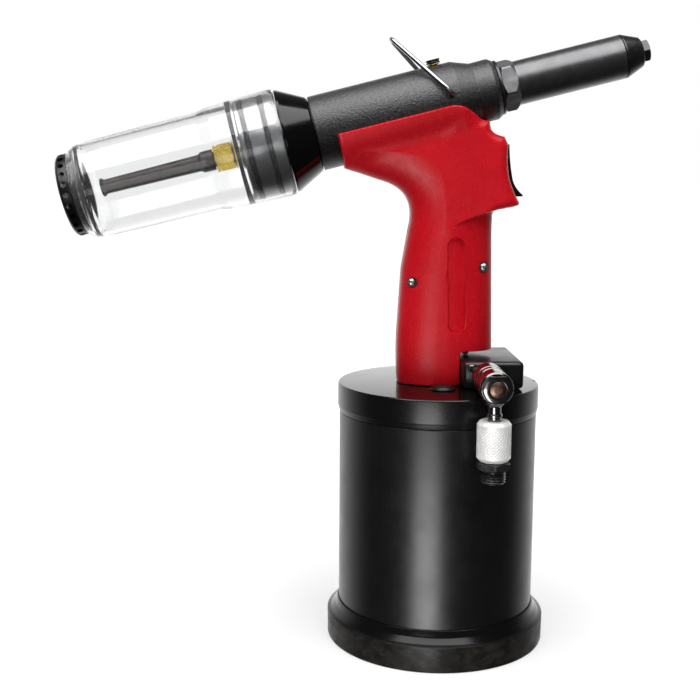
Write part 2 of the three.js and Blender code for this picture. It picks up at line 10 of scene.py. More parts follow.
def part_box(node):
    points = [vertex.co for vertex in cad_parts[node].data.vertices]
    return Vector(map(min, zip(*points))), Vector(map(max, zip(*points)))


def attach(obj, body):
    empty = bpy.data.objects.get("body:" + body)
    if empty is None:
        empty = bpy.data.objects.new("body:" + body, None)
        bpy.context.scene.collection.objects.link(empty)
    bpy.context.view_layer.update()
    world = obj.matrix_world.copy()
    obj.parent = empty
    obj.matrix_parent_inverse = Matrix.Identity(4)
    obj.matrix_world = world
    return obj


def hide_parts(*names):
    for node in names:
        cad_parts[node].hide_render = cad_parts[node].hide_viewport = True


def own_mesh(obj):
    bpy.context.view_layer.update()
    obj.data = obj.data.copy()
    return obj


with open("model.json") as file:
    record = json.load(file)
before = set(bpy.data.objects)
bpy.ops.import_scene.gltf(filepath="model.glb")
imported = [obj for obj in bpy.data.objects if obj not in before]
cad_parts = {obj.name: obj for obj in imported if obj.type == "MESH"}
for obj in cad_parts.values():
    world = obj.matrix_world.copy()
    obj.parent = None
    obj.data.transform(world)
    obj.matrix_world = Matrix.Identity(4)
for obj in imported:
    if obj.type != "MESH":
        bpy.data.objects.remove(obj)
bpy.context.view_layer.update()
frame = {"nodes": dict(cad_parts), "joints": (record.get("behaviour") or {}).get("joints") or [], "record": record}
JOINTS = {joint["name"]: joint for joint in frame["joints"]}
MM = 0.001


def cad(node):
    """Lowest and highest corner of a CAD node, in millimetres."""
    low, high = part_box(node)
    return low / MM, high / MM


def fill(node, **values):
    """Sets a node's inputs; an underscore in a name stands for a space."""
    for name, value in values.items():
        node.inputs[name.replace("_", " ")].default_value = value
    return node


def linked(name, data):
    """A new object of the scene that holds data."""
    thing = bpy.data.objects.new(name, data)
    bpy.context.scene.collection.objects.link(thing)
    return thing


def along_y(x, z):
    """Local +Z along the frame's +Y, from (x, 0, z)."""
    return Matrix.Translation((x, 0, z)) @ Matrix.Rotation(-math.pi / 2, 4, "X")


# ---------- places taken from the frame ----------
HEAD_AXIS = -Vector(JOINTS["pull_slide"]["axis"])
TILT = math.atan2(HEAD_AXIS.z, HEAD_AXIS.x)
PIVOT = Vector(JOINTS["hanger_tilt"]["pos_m"]) / MM
SWIVEL = Vector(JOINTS["inlet_turn"]["pos_m"]) / MM
LID_TOP = cad("cylinder_lid")[1].z
LID_R = cad("cylinder_lid")[1].x
TUBE_R = cad("cylinder_tube")[1].x
FOOT_R = cad("foot_boot")[1].x
HEAD_Z = 290.1                     # height of the head's axis over the foot's centre
HEAD_R = 19.4
NOSE_R = 11.4
GRIP_HALF = 17.0
SHELL_WALL = 2.6
SADDLE_EDGE = -3.2                 # the shells' top edge, measured from the head's axis
SEAM = 0.14                        # half the gap between the handle's halves
GRIP_FOOT_Z = 142.2
GRIP_POCKET = ((7.6, 174.7), (6.6, 215.5))
POCKET_DEPTH = 1.9
SLOT_HALF = 6.4                    # the trigger's slot
TRIGGER_PIN = (28.5, 265)
TRIGGER_VALVE_Z = 252
SCREWS = {"rear": (-15.8, 196.4), "front": (21.9, 204.4)}

UPRIGHT = Matrix.Identity(4)
ALONG_X = Matrix.Rotation(math.pi / 2, 4, "Y")
LEANING = Matrix.Translation((0, 0, HEAD_Z)) @ Matrix.Rotation(-TILT, 4, "Y")
# local +Z along the head, towards the nose, with local +X down and +Y as the frame's
HEAD = LEANING @ ALONG_X
# local +Z out of the top of the head, at the bleed screw
BLEED = LEANING @ Matrix.Translation((-0.3, 0, 0))
# local +Z along +Y, at the air inlet
INLET = along_y(SWIVEL.x, SWIVEL.z)
HOSE = Matrix.Translation((SWIVEL.x, SWIVEL.y, 0))

BOOTH_DARK = 0.035
BACKDROP = 1.35                    # seen in reflections; straight on it is 1
FLOOR_GLOW = 0.55
# name, place, aim, (width, height), watts
LIGHTS = (
    ("front_box", (-0.25, -0.87, -0.25), (0.0, 0.0, -0.12), (0.40, 0.54), 5.9),
    ("upper_box", (-0.27, -0.87, 0.14), (0.0, 0.0, 0.14), (0.32, 0.24), 0.3),
    ("top_box", (-0.05, -0.28, 0.93), (-0.03, 0.0, 0.28), (1.10, 0.85), 12.5),
)
HEAD_PIECES = (
    "head_body", "nose_spacer", "nose_lock_nut", "nose_barrel", "nose_front", "nose_tip",
    "collector_cone", "collector_hub", "hub_oring_front", "hub_oring_rear", "clear_bottle",
    "collector_end_cap", "mandrel_guide", "guide_lock_nut", "hanger_loop", "bleed_knob",
)


# ---------- shader nodes ----------
class Kit:
    """Short calls that add nodes to a node tree."""

    def __init__(self, tree):
        self.nodes, self.link = tree.nodes, tree.links.new

    def new(self, kind, **values):
        return fill(self.nodes.new("ShaderNode" + kind), **values)

    def maths(self, operation, first, second):
        node = self.new("Math")
        node.operation = operation
        self.link(first, node.inputs[0])
        self.link(second, node.inputs[1])
        return node.outputs[0]

    def smooth_range(self, value, low, high, start, stop):
        """value between low and high, mapped smoothly to start and stop."""
        node = self.new("MapRange", From_Min=low, From_Max=high, To_Min=start, To_Max=stop)
        node.interpolation_type = "SMOOTHSTEP"
        self.link(value, node.inputs["Value"])
        return node.outputs[0]


# ---------- camera, light and floor ----------
def make_camera():
    """The camera stands a little left of the gun and looks slightly down at it."""
    data = bpy.data.cameras.new("camera")
    data.sensor_width = 36
    data.lens = 60.49
    camera = linked("camera", data)
    yaw, pitch, roll = (math.radians(a) for a in (-2.245, 8.953, 0.327))
    turn = (
        Matrix.Rotation(yaw, 4, "Z")
        @ Matrix.Rotation(math.pi / 2 - pitch, 4, "X")
        @ Matrix.Rotation(roll, 4, "Z")
    )
    camera.matrix_world = Matrix.Translation(Vector((-72.33, -626.04, 257.35)) * MM) @ turn
    bpy.context.scene.camera = camera


def area_light(name, place, target, size, power):
    data = bpy.data.lights.new(name, "AREA")
    data.shape = "RECTANGLE"
    data.size, data.size_y = size
    data.energy = power
    direction = Vector(target) - Vector(place)
    linked(name, data).matrix_world = (
        Matrix.Translation(place) @ direction.to_track_quat("-Z", "Y").to_matrix().to_4x4()
    )


def make_studio():
    """White behind the gun and dark in front, as in a product booth, with large soft lights."""
    scene = bpy.context.scene
    scene.view_settings.view_transform = "Standard"
    scene.world = bpy.data.worlds.new("studio")
    scene.world.use_nodes = True
    kit = Kit(scene.world.node_tree)
    background = fill(kit.nodes["Background"], Color=(1, 1, 1, 1))
    split = kit.new("SeparateXYZ")
    kit.link(kit.new("TexCoord").outputs["Generated"], split.inputs[0])
    rear = kit.smooth_range(split.outputs["Y"], 0.0, 1.0, BOOTH_DARK, BACKDROP)
    above = kit.smooth_range(split.outputs["Z"], 0.30, 0.60, 1.0, 0.1)
    # the backdrop is 1 where it is looked at, directly or backwards through clear plastic
    path = kit.new("LightPath")
    behind = kit.smooth_range(split.outputs["Y"], 0.82, 0.96, 0.0, 1.0)
    through = kit.maths("MULTIPLY", path.outputs["Is Transmission Ray"], behind)
    mix = kit.new("Mix")
    mix.inputs[3].default_value = 1.0
    kit.link(kit.maths("MAXIMUM", path.outputs["Is Camera Ray"], through), mix.inputs[0])
    kit.link(kit.maths("MULTIPLY", rear, above), mix.inputs[2])
    kit.link(mix.outputs[0], background.inputs["Strength"])
    for light in LIGHTS:
        area_light(*light)


def make_floor():
    """A pale floor that runs into the white backdrop and takes the gun's soft shadow. Only
    the camera sees it, so that the front light can reach below it, as off a shiny table."""
    mesh = bpy.data.meshes.new("floor")
    side = 8
    corners = [(-side, -side, 0), (side, -side, 0), (side, side, 0), (-side, side, 0)]
    mesh.from_pydata(corners, [], [(0, 1, 2, 3)])
    floor = linked("floor", mesh)
    floor.visible_diffuse = floor.visible_glossy = False
    floor.visible_transmission = floor.visible_shadow = False
    kit = Shader("floor", Base_Color=(0.5, 0.5, 0.5, 1), Roughness=1.0,
                 Specular_IOR_Level=0.0, Emission_Color=(1, 1, 1, 1))
    away = kit.new("VectorMath")
    away.operation = "LENGTH"
    kit.link(kit.coords(), away.inputs[0])
    glow = kit.new("MapRange", From_Min=60, From_Max=420, To_Min=FLOOR_GLOW)
    kit.link(away.outputs["Value"], glow.inputs["Value"])
    kit.link(glow.outputs[0], kit.main.inputs["Emission Strength"])
    mesh.materials.append(kit.material)


# ---------- materials ----------
class Shader(Kit):
    """One Principled material and short calls that add procedural detail to it."""

    def __init__(self, name, **values):
        self.material = bpy.data.materials.new(name)
        self.material.use_nodes = True
        super().__init__(self.material.node_tree)
        self.main = fill(self.nodes["Principled BSDF"], **values)
        self.place = None

    def coords(self, scale=(1, 1, 1)):
        """Object coordinates in millimetres, stretched by scale."""
        if self.place is None:
            self.place = self.new("TexCoord")
        mapping = self.new("Mapping", Scale=[s / MM for s in scale])
        self.link(self.place.outputs["Object"], mapping.inputs["Vector"])
        return mapping.outputs["Vector"]

    def noise(self, grain, detail=2.0, stretch=(1, 1, 1), rough=0.5):
        """Noise whose features are about grain millimetres across."""
        node = self.new("TexNoise", Scale=1 / grain, Detail=detail, Roughness=rough)
        self.link(self.coords(stretch), node.inputs["Vector"])
        return node.outputs["Fac"]

    def cells(self, grain):
        node = self.new("TexVoronoi", Scale=1 / grain)
        self.link(self.coords(), node.inputs["Vector"])
        return node.outputs["Distance"]

    def above(self, low, high):
        """0 to 1 as the height goes from low to high."""
        split = self.new("SeparateXYZ")
        self.link(self.coords(), split.inputs[0])
        node = self.new("MapRange", From_Min=low, From_Max=high)
        self.link(split.outputs["Z"], node.inputs["Value"])
        return node.outputs[0]

    def ramp(self, value, stops):
        """value through a colour ramp; stops are (position, grey or colour)."""
        node = self.new("ValToRGB")
        ramp = node.color_ramp
        while len(ramp.elements) < len(stops):
            ramp.elements.new(0.5)
        for element, (position, shade) in zip(ramp.elements, stops):
            colour = shade if isinstance(shade, tuple) else (shade,) * 3
            element.position = position
            element.color = (*colour, 1)
        self.link(value, node.inputs["Fac"])
        return node.outputs["Color"]

    def mix(self, amount, first, second, mode="MIX"):
        node = self.new("Mix")
        node.data_type = "RGBA"
        node.blend_type = mode
        for index, value in ((0, amount), (6, first), (7, second)):
            if isinstance(value, bpy.types.NodeSocket):
                self.link(value, node.inputs[index])
            elif index == 0:
                node.inputs[0].default_value = value
            else:
                node.inputs[index].default_value = (*value, 1)
        return node.outputs[2]

    def colour(self, socket):
        self.link(socket, self.main.inputs["Base Color"])
        return self

    def rough(self, socket):
        self.link(socket, self.main.inputs["Roughness"])
        return self

    def bump(self, value, height, strength=1.0):
        """Adds a bump of the given height in millimetres, over any made before."""
        node = self.new("Bump", Strength=strength, Distance=height * MM)
        self.link(value, node.inputs["Height"])
        before = self.main.inputs["Normal"]
        if before.is_linked:
            self.link(before.links[0].from_socket, node.inputs["Normal"])
        self.link(node.outputs["Normal"], before)
        return self


def red_plastic():
    """Moulded handle plastic: a fine grain, slightly uneven in colour and shine."""
    kit = Shader("red_plastic", Specular_IOR_Level=0.2)
    cloud = kit.noise(24, detail=3)
    tint = kit.ramp(cloud, [(0.3, (0.45, 0.0030, 0.009)), (0.7, (0.515, 0.0045, 0.012))])
    speck = kit.ramp(kit.noise(0.5, detail=1), [(0.60, (0, 0, 0)), (0.74, (0.10, 0.03, 0.03))])
    kit.colour(kit.mix(1.0, tint, speck, "ADD"))
    kit.rough(kit.ramp(kit.noise(3.5, detail=4), [(0.3, 0.30), (0.7, 0.42)]))
    kit.bump(kit.noise(0.65, detail=2, rough=0.6), 0.13, 0.6)
    return kit.material


def black_casting():
    """Wrinkle-coated casting: dense small bumps whose paler tops are a painted highlight, standing in for speckled
    glints.
    """
    kit = Shader("black_casting", Specular_IOR_Level=0.95)
    grain = kit.noise(0.78, detail=3, rough=0.62)
    # painted highlight: the base colour is paler on the bumps' tops, standing in for speckled glints
    kit.colour(kit.ramp(grain, [(0.46, (0.001, 0.001, 0.0011)), (0.68, (0.050, 0.050, 0.052))]))
    kit.rough(kit.ramp(kit.noise(0.9, detail=3), [(0.35, 0.30), (0.65, 0.46)]))
    kit.bump(grain, 0.42, 0.7)
    kit.bump(kit.cells(1.1), 0.12, 0.4)
    return kit.material


def gloss_black():
    """Glossy black coat with a faint orange peel and a few dull smears, duller below the
    lid's top face."""
    kit = Shader("gloss_black", Base_Color=(0.003, 0.003, 0.0032, 1), Specular_IOR_Level=0.38)
    smears = kit.noise(18, detail=5, rough=0.65)
    shiny = kit.ramp(smears, [(0.35, 0.09), (0.75, 0.2)])
    dull = kit.ramp(smears, [(0.35, 0.25), (0.75, 0.34)])
    kit.rough(kit.mix(kit.above(LID_TOP - 1.0, LID_TOP - 0.3), dull, shiny))
    kit.bump(kit.noise(2.4, detail=1), 0.02, 0.35)
    return kit.material


def satin_black():
    """Satin black cylinder wall, drawn lengthways, with light handling marks."""
    kit = Shader("satin_black", Specular_IOR_Level=0.52)
    lines = kit.noise(0.9, detail=3, stretch=(1, 1, 0.04))
    kit.colour(kit.ramp(lines, [(0.3, (0.0030, 0.0030, 0.0032)), (0.7, (0.0050, 0.0050, 0.0052))]))
    kit.rough(kit.ramp(kit.noise(12, detail=5, rough=0.6), [(0.3, 0.29), (0.75, 0.38)]))
    kit.bump(lines, 0.012, 0.4)
    return kit.material


def foot_rubber():
    """Black rubber foot: shiny on its collar, scuffed and dusty on its lower band."""
    kit = Shader("foot_rubber", Roughness=0.3, Specular_IOR_Level=0.4)
    band = kit.above(14.6, 13.0)
    scuff = kit.ramp(kit.noise(7, detail=6, stretch=(1, 1, 1.8), rough=0.66),
                     [(0.40, (0.009, 0.0082, 0.0072)), (0.72, (0.034, 0.031, 0.027))])
    kit.colour(kit.mix(band, (0.004, 0.004, 0.0042), scuff))
    dull = kit.ramp(kit.noise(9, detail=5), [(0.35, 0.34), (0.7, 0.55)])
    kit.rough(kit.mix(band, (0.2, 0.2, 0.2), dull))
    shine = kit.mix(band, (0.3, 0.3, 0.3), (0.15, 0.15, 0.15))
    kit.link(shine, kit.main.inputs["Specular IOR Level"])
    kit.bump(kit.noise(1.6, detail=4), 0.05, 0.3)
    return kit.material


def black_steel(name, shade, low, high):
    """Blackened steel with a soft uneven sheen."""
    kit = Shader(name, Metallic=0.85)
    cloud = kit.noise(6, detail=4)
    kit.colour(kit.ramp(cloud, [(0.3, tuple(0.8 * c for c in shade)), (0.7, shade)]))
    kit.rough(kit.ramp(kit.noise(3, detail=5, rough=0.7), [(0.3, low), (0.7, high)]))
    kit.bump(kit.noise(0.35, detail=2), 0.012, 0.4)
    return kit.material


def guide_steel():
    """Brown-black oxide with a low sheen and paler streaks along the tube."""
    kit = Shader("guide_steel", Specular_IOR_Level=0.3)
    streak = kit.noise(1.2, detail=4, stretch=(0.15, 1, 1))
    kit.colour(kit.ramp(streak, [(0.40, (0.006, 0.004, 0.0035)), (0.75, (0.045, 0.030, 0.024))]))
    kit.rough(kit.ramp(streak, [(0.3, 0.26), (0.7, 0.42)]))
    kit.bump(kit.noise(0.8, detail=3), 0.03, 0.4)
    return kit.material


def bare_metal(name, shade, low, high, line=0.5, depth=0.01, metal=1.0):
    """Machined metal with fine tool lines."""
    kit = Shader(name, Metallic=metal)
    tone = kit.ramp(kit.noise(5, detail=4), [(0.3, tuple(0.86 * c for c in shade)), (0.7, shade)])
    kit.colour(tone)
    kit.rough(kit.ramp(kit.noise(1.8, detail=5, rough=0.7), [(0.3, low), (0.7, high)]))
    kit.bump(kit.noise(line, detail=2), depth, 0.5)
    return kit.material


def seal_rubber():
    kit = Shader("seal_rubber", Base_Color=(0.008, 0.008, 0.008, 1), Roughness=0.45)
    kit.bump(kit.noise(0.6, detail=2), 0.02, 0.4)
    return kit.material


def black_plastic(name="black_plastic"):
    kit = Shader(name, Base_Color=(0.0045, 0.0045, 0.005, 1), Roughness=0.3)
    kit.rough(kit.ramp(kit.noise(4, detail=4), [(0.3, 0.24), (0.7, 0.38)]))
    kit.bump(kit.noise(0.5, detail=2), 0.025, 0.4)
    return kit.material


def clear_plastic():
    """Clear polycarbonate that lets lamps through, faintly frosted by handling."""
    kit = Shader("clear_plastic", Base_Color=(0.972, 0.974, 0.976, 1), Roughness=0.03,
                 IOR=1.45, Transmission_Weight=0.98)
    kit.rough(kit.ramp(kit.noise(9, detail=5, rough=0.6), [(0.4, 0.02), (0.75, 0.09)]))
    path = kit.new("LightPath")
    lamp = kit.new("BsdfTransparent", Color=(0.93, 0.94, 0.945, 1))
    blend = kit.new("MixShader")
    kit.link(path.outputs["Is Shadow Ray"], blend.inputs[0])
    kit.link(kit.main.outputs[0], blend.inputs[1])
    kit.link(lamp.outputs[0], blend.inputs[2])
    kit.link(blend.outputs[0], kit.nodes["Material Output"].inputs["Surface"])
    return kit.material


# name: base colour, lowest and highest roughness
BLACK_STEELS = {
    "satin_black_steel": ((0.155, 0.155, 0.158), 0.28, 0.38),
    "gloss_black_steel": ((0.07, 0.07, 0.071), 0.24, 0.34),
    "dark_steel": ((0.085, 0.085, 0.09), 0.25, 0.42),
    "nut_steel": ((0.26, 0.26, 0.265), 0.30, 0.45),
}
# name: base colour, lowest and highest roughness, line width, line depth, metallic share
BARE_METALS = {
    "hub_metal": ((0.39, 0.39, 0.40), 0.28, 0.38),
    "bare_aluminium": ((0.66, 0.67, 0.68), 0.25, 0.4),
    "steel": ((0.62, 0.62, 0.62), 0.16, 0.3),
    "chrome": ((0.20, 0.19, 0.19), 0.13, 0.22, 2.0, 0.006),
    "brass": ((1.0, 0.72, 0.12), 0.22, 0.34, 0.5, 0.01, 0.85),
    "bronze": ((0.46, 0.31, 0.14), 0.3, 0.4),
    "wire_steel": ((0.42, 0.42, 0.43), 0.14, 0.26),
    "screw_steel": ((0.50, 0.50, 0.51), 0.22, 0.34),
    "bolt_core": ((0.20, 0.12, 0.09), 0.3, 0.42),
    "collar_steel": ((1.0, 0.99, 0.98), 0.34, 0.44, 0.5, 0.01, 0.2),
}


def make_materials():
    made = {finish.__name__: finish() for finish in (
        red_plastic, black_casting, gloss_black, satin_black, foot_rubber, guide_steel,
        seal_rubber, black_plastic, clear_plastic,
    )}
    made["button_black"] = black_plastic("button_black")
    made.update((name, black_steel(name, *values)) for name, values in BLACK_STEELS.items())
    made.update((name, bare_metal(name, *values)) for name, values in BARE_METALS.items())
    return made


# ---------- mesh building ----------
def add_piece(name, mesh, slot, node, sharp=35, body="frame"):
    """A piece of the looks, riding on its body, in place of the CAD node it shows."""
    mesh.validate()
    mesh.shade_smooth()
    mesh.set_sharp_from_angle(angle=math.radians(sharp))
    mesh.materials.clear()
    mesh.materials.append(MATERIALS[slot])
    piece = linked(name, mesh)
    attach(piece, body)
    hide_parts(node)
    return piece


def rounded(points, closed=False, arc=4):
    """Corner points (r, h) or (r, h, fillet) made into a line with filleted corners."""
    out = []
    count = len(points)
    for i, point in enumerate(points):
        here = Vector(point[:2])
        fillet = point[2] if len(point) > 2 else 0
        if not fillet or (not closed and i in (0, count - 1)):
            out.append(tuple(here))
            continue
        before = Vector(points[i - 1][:2]) - here
        after = Vector(points[(i + 1) % count][:2]) - here
        u, v = before.normalized(), after.normalized()
        bend = u.angle(v)
        back = min(fillet / math.tan(bend / 2), 0.49 * before.length, 0.49 * after.length)
        radius = back * math.tan(bend / 2)
        centre = here + (u + v).normalized() * (radius / math.sin(bend / 2))
        start, stop = here + u * back - centre, here + v * back - centre
        sweep = start.angle_signed(stop)
        for k in range(arc + 1):
            turn = -sweep * k / arc
            x = start.x * math.cos(turn) - start.y * math.sin(turn)
            y = start.x * math.sin(turn) + start.y * math.cos(turn)
            out.append((centre.x + x, centre.y + y))
    return out


def loft(profile_at, sides, closed):
    """Vertices and faces of rings whose (r, h) profile may change with the angle."""
    profiles = [profile_at(2 * math.pi * i / sides) for i in range(sides)]
    count = len(profiles[0])
    verts, index = [], {}
    for j in range(count):
        pole = not closed and j in (0, count - 1) and profiles[0][j][0] < 1e-6
        for i in range(sides):
            if pole and i:
                index[i, j] = index[0, j]
                continue
            r, h = profiles[i][j]
            angle = 2 * math.pi * i / sides
            index[i, j] = len(verts)
            verts.append((r * math.cos(angle), r * math.sin(angle), h))
    faces = []
    for j in range(count if closed else count - 1):
        k = (j + 1) % count
        for i in range(sides):
            n = (i + 1) % sides
            ring = [index[i, j], index[n, j], index[n, k], index[i, k]]
            face = list(dict.fromkeys(ring))
            if len(face) > 2:
                faces.append(face)
    return verts, faces


def lathe(points, sides=96, place=UPRIGHT, closed=False, arc=4):
    """A mesh of (r, h) or (r, h, fillet) points turned about local Z."""
    line = rounded(points, closed, arc)
    return to_mesh(*loft(lambda angle: line, sides, closed), place)


def add_turned(name, points, slot, node, place=UPRIGHT, sides=96, closed=False, body="frame"):
    add_piece(name, lathe(points, sides, place, closed), slot, node, body=body)


def rod(radius, start, stop, sides, place=UPRIGHT):
    return lathe([(0, start), (radius, start), (radius, stop), (0, stop)], sides, place)


def hexagon(corner, z0, z1, bore=0.0, turn=0.0, chamfer=(True, True), sides=96):
    """A hexagonal prism, its corners turned off by a shallow cone at the ends asked for."""
    flat = corner * math.cos(math.pi / 6)
    land = flat * 0.985
    slope = math.tan(math.radians(30))

    def profile(angle):
        local = (angle - turn) % (math.pi / 3) - math.pi / 6
        wall = min(flat / math.cos(local), corner * 0.995)
        drop = (wall - land) * slope
        low, high = (drop if c else 0.0 for c in chamfer)
        line = [(land, z0), (wall, z0 + low), (wall, z1 - high), (land, z1)]
        if bore:
            return [(bore, z0), *line, (bore, z1)]
        return [(0.0, z0), *line, (0.0, z1)]

    return loft(profile, sides, bool(bore))


def sweep(path, radius, sides=14):
    """A round wire along a list of points, with flat ends."""
    points = [Vector(p) for p in path]
    verts, faces = [], []
    tangent = (points[1] - points[0]).normalized()
    normal = tangent.orthogonal().normalized()
    for i, point in enumerate(points):
        ahead = points[min(i + 1, len(points) - 1)] - points[max(i - 1, 0)]
        step = ahead.normalized()
        normal = (normal - step * normal.dot(step)).normalized()
        side = step.cross(normal)
        for k in range(sides):
            angle = 2 * math.pi * k / sides
            verts.append(point + radius * (math.cos(angle) * normal + math.sin(angle) * side))
    for i in range(len(points) - 1):
        for k in range(sides):
            a, b = i * sides + k, i * sides + (k + 1) % sides
            faces.append((a, b, b + sides, a + sides))
    faces.append(tuple(reversed(range(sides))))
    faces.append(tuple(range(len(verts) - sides, len(verts))))
    return verts, faces


def prism(outline, y0, y1):
    """An outline of (x, z) points made into a plate between two values of y."""
    count = len(outline)
    verts = [(x, y, z) for y in (y0, y1) for x, z in outline]
    faces = [tuple(range(count)), tuple(reversed(range(count, 2 * count)))]
    for i in range(count):
        n = (i + 1) % count
        faces.append((n, i, i + count, n + count))
    return verts, faces


def to_mesh(verts, faces, place=UPRIGHT):
    mesh = bpy.data.meshes.new("work")
    mesh.from_pydata([tuple((place @ Vector(v)) * MM) for v in verts], [], faces)
    return mesh


def facing_out(mesh):
    work = bmesh.new()
    work.from_mesh(mesh)
    bmesh.ops.recalc_face_normals(work, faces=work.faces)
    work.to_mesh(mesh)
    work.free()
    return mesh


def worked(mesh, cutters=(), bevel=None, operation="DIFFERENCE"):
    """The mesh with its normals set right, its cutters taken away and its edges bevelled."""
    piece, *helpers = [linked("work", facing_out(each)) for each in (mesh, *cutters)]
    for helper in helpers:
        step = piece.modifiers.new("cut", "BOOLEAN")
        step.operation = operation
        step.solver = "EXACT"
        step.object = helper
    if bevel:
        step = piece.modifiers.new("bevel", "BEVEL")
        step.width = bevel * MM
        step.segments = 3
        step.limit_method = "ANGLE"
        step.angle_limit = math.radians(30)
        step.use_clamp_overlap = True
    bpy.context.view_layer.update()
    graph = bpy.context.evaluated_depsgraph_get()
    result = bpy.data.meshes.new_from_object(piece.evaluated_get(graph))
    for helper in [piece, *helpers]:
        bpy.data.objects.remove(helper)
    return result


# ---------- air cylinder ----------
def make_cylinder():
    add_turned("rubber_foot", [
        (0, 0), (FOOT_R - 0.2, 0, 1.0), (FOOT_R, 13.9, 0.35), (57.4, 14.7, 0.25),
        (55.0, 17.6, 2.5), (54.0, 20.9, 0.3), (53.45, 20.9), (53.45, 5), (0, 5),
    ], "foot_rubber", "foot_boot", sides=160)
    low, high = cad("cylinder_tube")
    add_turned("cylinder_wall", [
        (50.7, low.z), (TUBE_R, low.z), (TUBE_R, high.z, 0.4), (50.7, high.z),
    ], "satin_black", "cylinder_tube", sides=160, closed=True)
    body = lathe([
        (12.3, 118.5), (50.4, 118.5), (50.4, 126.3), (TUBE_R + 0.1, 126.3, 0.15),
        (LID_R - 0.25, 128.6, 0.4), (LID_R, 129.4, 0.6), (LID_R, LID_TOP, 1.1),
        (12.3, LID_TOP),
    ], 160, closed=True, arc=6)
    tap = rod(1.0, LID_TOP - 3, 150, 24, Matrix.Translation((52.7, 0.2, 0)))
    add_piece("cylinder_head", worked(body, [tap]), "gloss_black", "cylinder_lid")
    add_turned("lid_breather", [
        (0, 141.9), (7.0, 141.9), (7.0, 142.5, 0.3), (6.3, 142.7, 0.3), (5.6, 143.3, 1.2),
        (3.2, 144.2, 2.0), (0, 144.35),
    ], "button_black", "lid_plug", Matrix.Translation((-0.2, -24.5, 0)), 64)


# ---------- valve block and air inlet ----------
def make_valve_block():
    low, high = cad("valve_block")
    outline = [(low.x, low.z), (high.x, low.z), (high.x, high.z), (low.x, high.z)]
    block = worked(to_mesh(*prism(outline, low.y, high.y)), bevel=2.4)
    end = along_y(30.5, 149.2)
    cutters = [rod(11.3, 138, 160, 64), rod(5, -18, 40, 48, end)]
    add_piece("valve_housing", worked(block, cutters), "satin_black", "valve_block")
    plug = along_y(14.5, 153.2)
    body = lathe([
        (0, -28.25), (1.2, -28.25), (1.5, -28.3, 0.1), (2, -28.0, 0.2), (2, -26.8), (0, -26.8),
    ], 48, plug)
    key = to_mesh(*hexagon(1.15, -29, -27.3, chamfer=(False, False), sides=48), plug)
    add_piece("block_port_plug", worked(body, [key]), "chrome", "valve_block_plug")
    body = lathe([(0, 19.5), (4.7, 19.5), (4.7, 26.5, 0.5), (0, 26.5)], 64, end)
    key = to_mesh(*hexagon(2.6, 22.5, 28, chamfer=(False, False), sides=48), end)
    add_piece("block_end_plug", worked(body, [key]), "dark_steel", "valve_end_plug")


def make_inlet():
    add_turned("inlet_barrel", [
        (0, -56), (7.4, -56, 0.2), (8.2, -55.2, 0.3), (8.2, -51.2, 0.3), (7.5, -50.8, 0.2),
        (7.5, -49.6, 0.2), (8.2, -49.2, 0.3), (8.2, -39.2, 0.6), (7.2, -38, 0.6), (4.6, -38, 0.3),
        (4.6, -26.8), (0, -26.8),
    ], "chrome", "inlet_adapter", INLET)
    head = to_mesh(*hexagon(7.7, -72.1, -69.3, chamfer=(True, False)), INLET)
    shank = rod(4.7, -69.6, -56.3, 64, INLET)
    socket = lathe([(0, -73), (4.9, -73), (4.5, -71.4), (0, -71.4)], 64, INLET)
    bolt = worked(worked(head, [shank], operation="UNION"), [socket])
    add_piece("swivel_bolt", bolt, "chrome", "banjo_bolt")
    add_turned("swivel_bolt_core", [
        (0, -72.6), (2.2, -72.5, 1.5), (3.9, -71.9, 0.5), (4.2, -71.3), (0, -71.3),
    ], "bolt_core", "banjo_bolt", INLET, 48)
    add_turned("swivel_washer", [
        (5, -56.7), (7.4, -56.7, 0.15), (7.4, -56.3, 0.15), (5, -56.3),
    ], "brass", "banjo_washer", INLET, 64, True)
    eye = lathe([
        (5, -69), (7.5, -69, 0.3), (8.3, -68.2, 0.4), (8.3, -57.8, 0.4), (7.5, -57, 0.3), (5, -57),
    ], 96, INLET, True)
    top = SWIVEL.z - 7
    stem = lathe([
        (0, 120), (3.25, 120), (3.25, 135.2), (3.9, 135.6, 0.3), (3.9, 136.8, 0.3),
        (3.25, 137.2), (3.25, 140.4), (4.6, 141.8, 1.2), (4.6, top), (0, top),
    ], 64, HOSE)
    add_piece("swivel_eye", worked(eye, [stem], operation="UNION"), "chrome", "swivel_body",
              body="inlet_swivel")
    make_collar()
    make_nipple()


def saw(value):
    """A triangle wave: 0 at whole numbers and 1 half-way between."""
    return 1 - abs(2 * (value % 1) - 1)


def make_collar():
    """Collar with crossed knurling, which fades out at its chamfered ends."""
    low, high = cad("knurled_collar")
    radius, depth, teeth, pitch = 8.55, 0.42, 32, 1.7
    start, stop, rows = low.z + 1.9, high.z - 1.7, 64

    def profile(angle):
        line = [(3.6, low.z), (6.7, low.z), (7.1, low.z + 0.15), (radius - 0.2, start - 0.2)]
        for i in range(rows + 1):
            z = start + (stop - start) * i / rows
            turn = teeth * angle / (2 * math.pi)
            tooth = min(saw(turn + z / pitch), saw(turn - z / pitch))
            fade = min(1, 6 * i / rows, 6 * (rows - i) / rows)
            line.append((radius - depth * (1 - min(1, 1.5 * tooth)) * fade, z))
        line += [(radius - 0.2, stop + 0.2), (7.4, high.z - 0.25), (7.0, high.z)]
        return line + [(3.6, high.z)]

    union = to_mesh(*loft(profile, teeth * 6, True), HOSE)
    add_piece("knurled_union", union, "collar_steel", "knurled_collar", 60, "hose_union")


